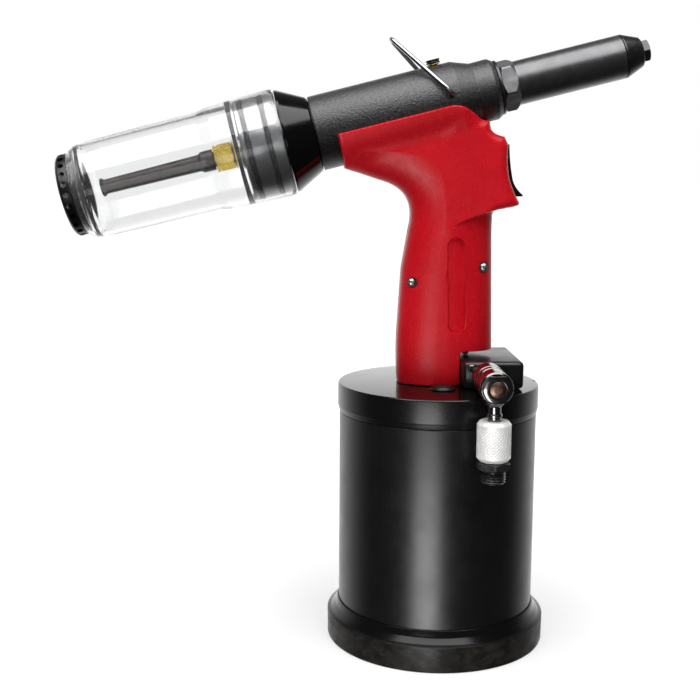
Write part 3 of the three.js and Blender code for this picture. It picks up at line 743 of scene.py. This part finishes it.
def make_nipple():
    """Hexagonal nipple with a male thread below it."""
    body = to_mesh(*hexagon(9, 109.0, 112.7, 3.6, math.radians(30)), HOSE)
    pitch, top, low, rows = 1.34, 109.4, 102.0, 84

    def profile(angle):
        line = [(3.6, low), (5.6, low)]
        for i in range(rows + 1):
            z = low + 0.25 + (top - low - 0.25) * i / rows
            crest = min(1, (z - low) / 1.0, max(0, (108.6 - z) / 0.8))
            line.append((5.65 + 0.75 * saw(z / pitch + angle / (2 * math.pi)) * crest, z))
        return line + [(3.6, top)]

    thread = to_mesh(*loft(profile, 72, True), HOSE)
    add_piece("hose_thread", worked(body, [thread], operation="UNION"), "dark_steel",
              "hose_nipple", body="hose_union")


# ---------- head and nose ----------
def make_head():
    casting = lathe([
        (12.3, 28.9), (12.3, 8), (16, 8), (16, -84.9), (17.2, -84.9), (17.2, -68.4),
        (HEAD_R, -68.4, 0.4), (HEAD_R, -4, 3), (19.1, 4, 3), (19.1, 7.7, 0.8), (15.8, 17.3, 0.8),
        (15.9, 26.6, 0.9), (14.5, 28.9, 0.3),
    ], 128, HEAD, True, 5)
    joined = worked(casting, [rod(12, 262, 276, 64)], operation="UNION")
    pivot = along_y(PIVOT.x, PIVOT.z)
    holes = [
        rod(16, -90, 8, 128, HEAD), rod(3, 255, 281, 32), rod(1.5, -23.2, -17.2, 32, pivot),
        rod(1.5, 17.2, 23.2, 32, pivot), rod(2.3, 10, 24, 32, BLEED),
    ]
    add_piece("head_body", worked(joined, holes), "black_casting", "head_casting")
    screw = lathe([
        (0, 16.8), (2, 16.8), (2, 20.2), (3.6, 20.2, 0.2), (3.8, 20.6, 0.2), (3.1, 21.2, 0.5),
        (3.8, 21.8, 0.2), (3.65, 22.2, 0.15), (2.9, 22.1, 0.3), (1.4, 21.6, 0.5), (0, 21.5),
    ], 64, BLEED)
    add_piece("bleed_knob", worked(screw), "black_plastic", "bleed_screw")
    add_turned("bleed_seal", [
        (2.3, 19.5), (3.5, 19.5, 0.15), (3.5, 19.9, 0.15), (2.3, 19.9),
    ], "brass", "bleed_washer", BLEED, 48, True)


def make_nose():
    add_turned("nose_spacer", [
        (11.7, 29.3), (14.2, 29.3, 0.2), (14.2, 30.7, 0.2), (11.7, 30.7),
    ], "dark_steel", "nose_ring", HEAD, 96, True)
    make_lock_nut()
    add_turned("nose_barrel", [
        (6.3, 26.6), (NOSE_R, 26.6), (NOSE_R, 96.4, 0.25), (9.4, 96.4), (9.4, 39.5), (6.3, 39.5),
    ], "satin_black_steel", "nose_sleeve", HEAD, 128, True)
    add_turned("nose_front", [
        (4.3, 106.8), (4.3, 91.9), (9.1, 91.9), (9.1, 96.7), (NOSE_R, 96.7, 0.2),
        (NOSE_R, 97.4, 0.9), (7.8, 106.2, 0.7), (7.1, 106.8, 0.2),
    ], "gloss_black_steel", "nose_cap", HEAD, 128, True)
    turn = math.radians(30)
    hexa = to_mesh(*hexagon(6.2, 107.1, 110.6, 0, turn, (False, True)), HEAD)
    bore = lathe([
        (0, 90), (2.1, 90), (2.1, 109.9), (2.9, 111), (0, 111),
    ], 48, HEAD)
    joined = worked(hexa, [rod(4, 91.4, 107.6, 64, HEAD)], operation="UNION")
    add_piece("nose_tip", worked(joined, [bore]), "dark_steel", "nosepiece")


def make_lock_nut():
    """Hexagonal lock nut whose front corners are turned off by a long cone."""
    corner, turn = 13.7, math.radians(228)
    flat = corner * math.cos(math.pi / 6)
    back, cone_z, cone_r, front, front_r = 31.0, 33.6, 16.0, 39.0, 11.9
    slope = (front - cone_z) / (cone_r - front_r)

    def profile(angle):
        local = (angle - turn) % (math.pi / 3) - math.pi / 6
        wall = min(flat / math.cos(local), corner * 0.995)
        rise = min(cone_z + (cone_r - wall) * slope, front - 0.05)
        rim = min(wall, front_r)
        return [(11.7, back), (flat * 0.99, back), (wall, back + 0.6 * (wall - flat * 0.99)),
                (wall, rise), (rim - 0.02, front), (11.7, front)]

    nut = to_mesh(*loft(profile, 144, True), HEAD)
    add_piece("nose_lock_nut", nut, "nut_steel", "lock_nut", 25)


# ---------- spent-mandrel collector ----------
def make_collector():
    add_turned("collector_cone", [
        (17.5, -84.7), (26.9, -84.7, 0.25), (26.9, -83.5, 0.5), (19.7, -69.6, 0.5),
        (18.6, -68.8, 0.3), (17.5, -68.8),
    ], "gloss_black", "rear_cone", HEAD, 144, True)
    groove = [(26.3, -104.4, 0.3), (25, -104.4), (25, -101.6), (26.3, -101.6, 0.3),
              (26.3, -93.9, 0.3), (25, -93.9), (25, -91.1), (26.3, -91.1, 0.3)]
    add_turned("collector_hub", [
        (4.3, -112.6), (7.6, -112.6, 0.4), (8.6, -111.8, 0.3), (8.6, -107), (25.6, -107, 0.4),
        (26.3, -106.2, 0.3), *groove, (26.3, -85.2), (15.7, -85.2), (15.7, -61.9),
        (6.3, -61.9), (6.3, -88), (4.3, -88),
    ], "hub_metal", "rear_hub", HEAD, 144, True)
    for name, s in (("front", -92.5), ("rear", -103.0)):
        section = [(25.85 + 0.65 * math.cos(a), s + 1.1 * math.sin(a))
                   for a in (2 * math.pi * k / 16 for k in range(16))]
        add_turned(f"hub_oring_{name}", section, "seal_rubber", f"collector_oring_{name}",
                   HEAD, 128, True)
    add_turned("clear_bottle", [
        (20.6, -195.9, 0.3), (22.4, -195.9, 0.8), (24.2, -193, 1.5), (25.2, -187, 4),
        (25.5, -170), (25.9, -126, 3), (27.3, -119.6, 3), (28.15, -88, 0.6), (27.9, -85.6, 0.3),
        (26.6, -85.6, 0.3), (26.6, -108, 0.6), (23.7, -110.4, 1.0), (23.4, -189, 1.2),
        (20.6, -192, 0.4),
    ], "clear_plastic", "collector_bottle", HEAD, 144, True, body="collector")
    make_cap()
    add_turned("mandrel_guide", [
        (2.7, -184.2), (4.5, -184.2, 0.4), (4.85, -183.7, 0.4), (4.85, -183.1, 0.3),
        (3.8, -182, 0.5), (4.4, -131.4, 0.8), (5.5, -129.9, 0.5), (5.5, -121.4), (4, -121.4),
        (4, -89), (2.7, -89),
    ], "guide_steel", "guide_tube", HEAD, 64, True)
    nut = to_mesh(*hexagon(7.0, -121.1, -112.9, 4.3), HEAD)
    add_piece("guide_lock_nut", nut, "brass", "guide_nut", 25)


def make_cap():
    """End cap with a ring of vent holes in its rim."""
    body = lathe([
        (0, -202.2), (20.4, -202.2, 0.5), (21.6, -201, 0.7), (21.6, -196.2, 0.3), (20.3, -196.2),
        (20.3, -192.6, 0.3), (18.4, -192.6), (18.4, -200.4, 1.0), (0, -200.4),
    ], 144, HEAD)
    vents = []
    for i in range(12):
        spin = Matrix.Translation((0, 0, -198.9)) @ Matrix.Rotation(i * math.pi / 12, 4, "Z")
        vents.append(rod(1.55, -24, 24, 24, HEAD @ spin @ ALONG_X))
    add_piece("collector_end_cap", worked(body, vents), "black_plastic", "collector_cap",
              body="collector_end")


# ---------- springs --------------------------------------------
def make_springs():
    across = Matrix.Translation((0, 0, TRIGGER_VALVE_Z)) @ ALONG_X
    for name, joint, place, radius, wire, start, stop, turns, keep in (
        ("return_coil", "pull_slide", HEAD, 11.6, 1.3, -60.2, -26, 5, 0.45),
        ("trigger_coil", "stem_slide", across, 1.55, 0.4, 13.6, 18.2, 3, 0.62),
    ):
        path = []
        steps = turns * 24
        for i in range(steps + 1):
            along, angle = i / steps, 2 * math.pi * turns * i / steps
            path.append((radius * math.sin(angle), radius * math.cos(angle),
                         start + along * (stop - start)))
        coil = to_mesh(*sweep(path, wire, 12), place)
        coil = add_piece(name, coil, "steel", name.replace("coil", "spring"), 50)
        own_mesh(coil)


# ---------- hanger, trigger and screws ----------
def make_hanger():
    """Wire loop whose legs pass the head and close in to a round tip."""
    half, wire, inset, lean = 21.2, 1.2, 17.6, math.radians(136.5)
    shoulder, apex = 5.0, 45.8
    route = rounded([
        (0, inset), (0, half, 1.8), (shoulder, half, 8.0), (apex, 0, 3.7), (shoulder, -half, 8.0),
        (0, -half, 1.8), (0, -inset),
    ], arc=14)
    path = [(PIVOT.x + u * math.cos(lean), v, PIVOT.z + u * math.sin(lean)) for u, v in route]
    loop = to_mesh(*sweep(path, wire, 20))
    add_piece("hanger_loop", loop, "wire_steel", "hanger_bail", 50, "hanger")


def make_trigger():
    side = outline_points([
        (25.2, 268.4), (34.9, 268.4), (35.1, 259, 37.1, 249.8), (38.6, 245.2, 42.6, 242.1),
        (42.6, 241.3), (37.6, 241.3), (32.6, 246, 30.2, 249), (29.6, 258), (25.2, 260.2),
    ], 10)
    body = worked(to_mesh(*prism([tuple(p) for p in side], -5.9, 5.9)), bevel=0.7)
    hole = rod(1.8, -8, 8, 48, along_y(*TRIGGER_PIN))
    add_piece("trigger_lever", worked(body, [hole]), "black_plastic", "trigger",
              body="trigger_lever")


def make_screws():
    """Cross-recessed pan-head screws, sunk in the left half of the handle, each with a black ring under its head
    that is painted shade for the counterbore's gap.
    """
    top = -12.6
    for name, (x, z) in SCREWS.items():
        place = along_y(x, z)
        body = lathe([
            (0, top), (1.2, top + 0.05, 0.6), (2.1, top + 0.7, 0.4), (2.1, top + 1.5, 0.1),
            (1.4, top + 1.5), (1.4, 8.5), (0, 8.5),
        ], 48, place)
        slots = []
        for turn in (0.35, 0.35 + math.pi / 2):
            blade = [(-1.45, top - 0.8), (1.45, top - 0.8), (0.6, top + 1.2), (-0.6, top + 1.2)]
            spun = place @ Matrix.Rotation(turn, 4, "Z")
            slots.append(to_mesh(*prism(blade, -0.26, 0.26), spun))
        node = f"handle_screw_{name}"
        add_piece(f"grip_screw_{name}", worked(body, slots), "screw_steel", node)
        # painted shade: a black ring put in the counterbore's gap, where there is only shade
        add_turned(f"grip_washer_{name}", [
            (1.5, top + 1.55), (2.75, top + 1.55), (2.75, top + 1.75), (1.5, top + 1.75),
        ], "seal_rubber", node, place, 48, True)


# ---------- solids meshed from a distance field ----------
def surface_mesh(field, low, high, step):
    """Dual contouring: one vertex in each cell that the surface crosses, set where the
    planes of its crossings meet, so that edges and corners stay crisp."""
    axes = [np.arange(a, b + step, step) for a, b in zip(low, high)]
    shape = tuple(len(a) for a in axes)
    grid = np.stack(np.meshgrid(*axes, indexing="ij"), -1)
    values = np.concatenate([
        field(slab.reshape(-1, 3)).reshape(slab.shape[:-1])
        for slab in np.array_split(grid, 24, axis=0)
    ])
    cells = tuple(n - 1 for n in shape)
    size = int(np.prod(cells))
    # for each cell: the planes' matrix (6) and right side (3), the crossings' sum (3) and count
    sums = np.zeros((size, 13))
    pairs = ((0, 0), (0, 1), (0, 2), (1, 1), (1, 2), (2, 2))
    crossings = []
    for axis in range(3):
        first, second = [slice(None)] * 3, [slice(None)] * 3
        first[axis], second[axis] = slice(None, -1), slice(1, None)
        a, b = values[tuple(first)], values[tuple(second)]
        at = np.argwhere((a < 0) != (b < 0))
        start, end = a[tuple(at.T)], b[tuple(at.T)]
        point = grid[tuple(at.T)] + (start / (start - end))[:, None] * step * np.eye(3)[axis]
        normal = gradient(field, point)
        normal /= np.maximum(np.linalg.norm(normal, axis=1, keepdims=True), 1e-9)
        offset = (normal * point).sum(1)
        rows = [normal[:, i] * normal[:, j] for i, j in pairs]
        rows += [normal[:, i] * offset for i in range(3)] + list(point.T) + [np.ones(len(at))]
        u, v = [k for k in range(3) if k != axis]
        corners = []
        for du, dv in ((-1, -1), (0, -1), (0, 0), (-1, 0)):
            cell = at + du * np.eye(3, dtype=int)[u] + dv * np.eye(3, dtype=int)[v]
            flat = np.ravel_multi_index(cell.T, cells)
            corners.append(flat)
            for k, row in enumerate(rows):
                sums[:, k] += np.bincount(flat, row, size)
        quads = np.stack(corners, 1)
        flip = (start < 0) == (axis == 1)
        quads[flip] = quads[flip][:, ::-1]
        crossings.append(quads)
    used = np.flatnonzero(sums[:, 12])
    sums = sums[used]
    middle = sums[:, 9:12] / sums[:, 12:]
    matrix = np.zeros((len(used), 3, 3))
    for k, (i, j) in enumerate(pairs):
        matrix[:, i, j] = matrix[:, j, i] = sums[:, k]
    hold = 0.06                    # keeps a vertex of a flat cell near its crossings
    matrix += hold * np.eye(3)
    right = sums[:, 6:9] + hold * middle
    verts = np.linalg.solve(matrix, right[:, :, None])[:, :, 0]
    corner = np.stack(np.unravel_index(used, cells), 1) * step + np.array([a[0] for a in axes])
    spill = 0.1                    # how far a vertex may leave its cell, in steps
    verts = np.clip(verts, corner - spill * step, corner + (1 + spill) * step)
    index = np.zeros(size, int)
    index[used] = np.arange(len(used))
    return verts, index[np.concatenate(crossings)]


SHORT = 0.02                       # the step for slopes, in millimetres


def gradient(field, points):
    """The field's slope, not brought to unit length."""
    return np.stack([field(points + step) - field(points - step) for step in SHORT * np.eye(3)], 1)


def smooth_min(a, b, k):
    h = np.clip(0.5 + 0.5 * (b - a) / k, 0, 1)
    return b + (a - b) * h - k * h * (1 - h)


def smooth_max(a, b, k):
    return -smooth_min(-a, -b, k)


def smooth_step(low, high, x):
    t = np.clip((x - low) / (high - low), 0, 1)
    return t * t * (3 - 2 * t)


def polygon_distance(points, outline):
    """Signed distance of 2-D points to a closed outline, negative inside."""
    best = np.full(len(points), 1e9)
    inside = np.zeros(len(points), bool)
    for a, b in zip(outline, np.roll(outline, -1, axis=0)):
        edge, reach = b - a, points - a
        along = np.clip(reach @ edge / (edge @ edge), 0, 1)
        best = np.minimum(best, ((reach - along[:, None] * edge) ** 2).sum(1))
        spans = (a[1] > points[:, 1]) != (b[1] > points[:, 1])
        rise = edge[1] if abs(edge[1]) > 1e-12 else 1e-12
        inside ^= spans & (points[:, 0] < a[0] + edge[0] * (points[:, 1] - a[1]) / rise)
    return np.sqrt(best) * np.where(inside, -1, 1)


def distance_table(outline, margin=8.0, step=0.3):
    low = outline.min(0) - margin
    counts = np.ceil((outline.max(0) + margin - low) / step).astype(int) + 2
    xs, zs = (low[k] + step * np.arange(counts[k]) for k in (0, 1))
    points = np.stack(np.meshgrid(xs, zs, indexing="ij"), -1).reshape(-1, 2)
    table = polygon_distance(points, outline).reshape(counts)

    def look_up(x, z):
        u = np.clip((x - low[0]) / step, 0, counts[0] - 1.001)
        v = np.clip((z - low[1]) / step, 0, counts[1] - 1.001)
        i, j = u.astype(int), v.astype(int)
        du, dv = u - i, v - j
        return ((table[i, j] * (1 - du) + table[i + 1, j] * du) * (1 - dv)
                + (table[i, j + 1] * (1 - du) + table[i + 1, j + 1] * du) * dv)

    return look_up


def outline_points(moves, steps=8):
    """(x, z) lines and (cx, cz, x, z) curves made into a dense outline."""
    points = [np.array(moves[0], float)]
    for move in moves[1:]:
        end = np.array(move[-2:], float)
        if len(move) == 4:
            start, pull = points[-1], np.array(move[:2], float)
            for k in range(1, steps):
                t = k / steps
                points.append((1 - t) ** 2 * start + 2 * t * (1 - t) * pull + t * t * end)
        points.append(end)
    return np.array(points)


# ---------- handle shells ----------
def edge_height(x):
    """Height of the shells' top edge, which runs parallel to the head."""
    return HEAD_Z + x * math.tan(TILT) + SADDLE_EDGE / math.cos(TILT)


def handle_outline():
    """Side view of the handle; its foot runs on below the lid, and is cut level later."""
    return outline_points([
        (-55.6, edge_height(-55.6)), (-1.5, edge_height(-1.5)), (5.2, 288.6, 9.6, 286.6),
        (14.2, 284.4, 17.0, 281.8), (18.8, 280.3, 22.9, 280.2), (23.9, 276.0),
        (25.4, 273.2, 31.0, 272.2), (33.2, 267.7), (32.3, 259.0, 34.1, 250.7),
        (36.2, 244.0, 39.5, 238.4), (39.6, 236.9, 37.8, 236.4), (29.4, 234.2),
        (27.2, 233.6, 27.1, 230.6), (27.0, 222), (28.4, 161.2), (29.6, 126), (-22.0, 126),
        (-22.4, 142.2), (-23.8, 158, -22.5, 176), (-20.9, 203), (-17.4, 224),
        (-15.7, 230.5, -17.0, 236.4), (-18.9, 244.2, -28, 247.9), (-51.1, 255.4),
    ])


def head_radius(s):
    """Radius of the head casting at a place along its axis."""
    return np.interp(s, [-4, 4, 7.7, 17.5, 27.2], [HEAD_R, 19.1, 19.1, 15.8, 15.9])


def stadium(x, z, ends, radius):
    """Distance to a slot with round ends."""
    (ax, az), (bx, bz) = ends
    dx, dz = bx - ax, bz - az
    t = np.clip(((x - ax) * dx + (z - az) * dz) / (dx * dx + dz * dz), 0, 1)
    return np.hypot(x - ax - t * dx, z - az - t * dz) - radius


def handle_body(silhouette):
    """Distance to the outside of the handle, before it is hollowed, cut and split."""
    sin, cos = math.sin(TILT), math.cos(TILT)

    def body(x, y, z):
        flat = silhouette(x, z)
        s = x * cos + (z - HEAD_Z) * sin
        n = -x * sin + (z - HEAD_Z) * cos
        away = np.hypot(y, n)
        reach = np.clip(x - 6.9, -20, 30)
        crease = 227.2 + 0.50 * reach - 0.0075 * reach * reach
        guard = smooth_step(-1.1, 0.5, z - crease)
        front = smooth_step(-4, 14, x)
        half = GRIP_HALF - 1.6 * (1 - guard) * smooth_step(2, 16, x)
        radius = 14.0 - guard * front * 9.0
        crown = 22.0 - guard * front * 17.0
        over, side = (flat + crown) * radius / crown, np.abs(y) - half + radius
        grip = np.hypot(np.maximum(over, 0), np.maximum(side, 0))
        grip = grip + np.minimum(np.maximum(over, side), 0) - radius
        saddle = smooth_max(away - head_radius(s) - SHELL_WALL, flat, 1.8)
        saddle = np.maximum(saddle, -58.2 - s)
        saddle = np.maximum(saddle, s - 26)
        joined = smooth_max(smooth_min(grip, saddle, 4.0), flat, 0.3)
        notch = smooth_max(9.8 - x, z - 159.8, 2.0)
        return smooth_max(joined, -notch, 0.8), away, s

    return body


def handle_half(side, name, node):
    """One hollow shell; side is -1 for the left half and 1 for the right."""
    body = handle_body(distance_table(handle_outline()))

    def field(points):
        x, y, z = points.T
        outer, away, s = body(x, y, z)
        pocket = stadium(x, z, GRIP_POCKET, 4.7)
        wall = SHELL_WALL + POCKET_DEPTH * (1 - smooth_step(1.0, 4.0, pocket))
        shell = np.maximum(outer, -(outer + wall))
        shell = smooth_max(shell, -np.maximum(pocket, -(outer + POCKET_DEPTH)), 0.2)
        for px, pz in SCREWS.values():
            around = np.hypot(x - px, z - pz)
            shell = np.minimum(shell, np.maximum(around - 4.1, outer + 0.4))
            shell = np.maximum(shell, np.minimum(1.7 - around, 9.5 - y))
            if side < 0:
                shell = smooth_max(shell, np.minimum(2.9 - around, -10.8 - y), 0.3)
        pin = np.hypot(x - TRIGGER_PIN[0], z - TRIGGER_PIN[1])
        post = np.maximum.reduce([pin - 3.2, np.abs(y) - 15.1, 6.7 - np.abs(y), outer + 0.4])
        shell = np.maximum(np.minimum(shell, post), np.minimum(1.8 - pin, 14 - np.abs(y)))
        shell = np.maximum(shell, head_radius(s) + 0.25 - away)
        slot = np.maximum.reduce([np.abs(y) - SLOT_HALF, 23 - x, 238.7 - z, z - 268.9])
        shell = smooth_max(shell, -slot, 0.3)
        for middle, radius, top in ((0, 12.3, 280), (14.6, 2.0, 170)):
            shell = np.maximum(shell, np.minimum(radius - np.hypot(x - middle, y), top - z))
        shell = smooth_max(shell, GRIP_FOOT_Z - z, 0.3)
        return smooth_max(shell, SEAM - side * y, 0.25)

    low = (-58.7, -0.6 if side > 0 else -23.2, GRIP_FOOT_Z - 0.9)
    high = (41.3, 23.2 if side > 0 else 0.6, 290.5)
    step = 0.75
    verts, faces = surface_mesh(field, low, high, step)
    mesh = to_mesh(verts.tolist(), faces.tolist())
    add_piece(name, mesh, "red_plastic", node, sharp=32)


# ---------- the nodes left as they are packed ----------
def finish_packed_nodes():
    slots = {row["node"]: row["material_slot"] for row in frame["record"]["subparts"]}
    for name, node in frame["nodes"].items():
        if not node.hide_render:
            node.data.materials.clear()
            node.data.materials.append(MATERIALS[slots[name]])


def shade_head():
    """The head is flagged off from the low front light, which belongs to the cylinder."""
    flag = bpy.data.collections.new("flagged_off")
    for name in HEAD_PIECES:
        flag.objects.link(bpy.data.objects[name])
    for member in flag.collection_objects:
        member.light_linking.link_state = "EXCLUDE"
    bpy.data.objects["front_box"].light_linking.receiver_collection = flag


MATERIALS = make_materials()
make_camera()
make_studio()
make_floor()
make_cylinder()
make_valve_block()
make_inlet()
make_head()
make_nose()
make_collector()
make_springs()
make_hanger()
make_trigger()
make_screws()
handle_half(-1, "handle_left", "handle_shell_left")
handle_half(1, "handle_right", "handle_shell_right")
finish_packed_nodes()
shade_head()
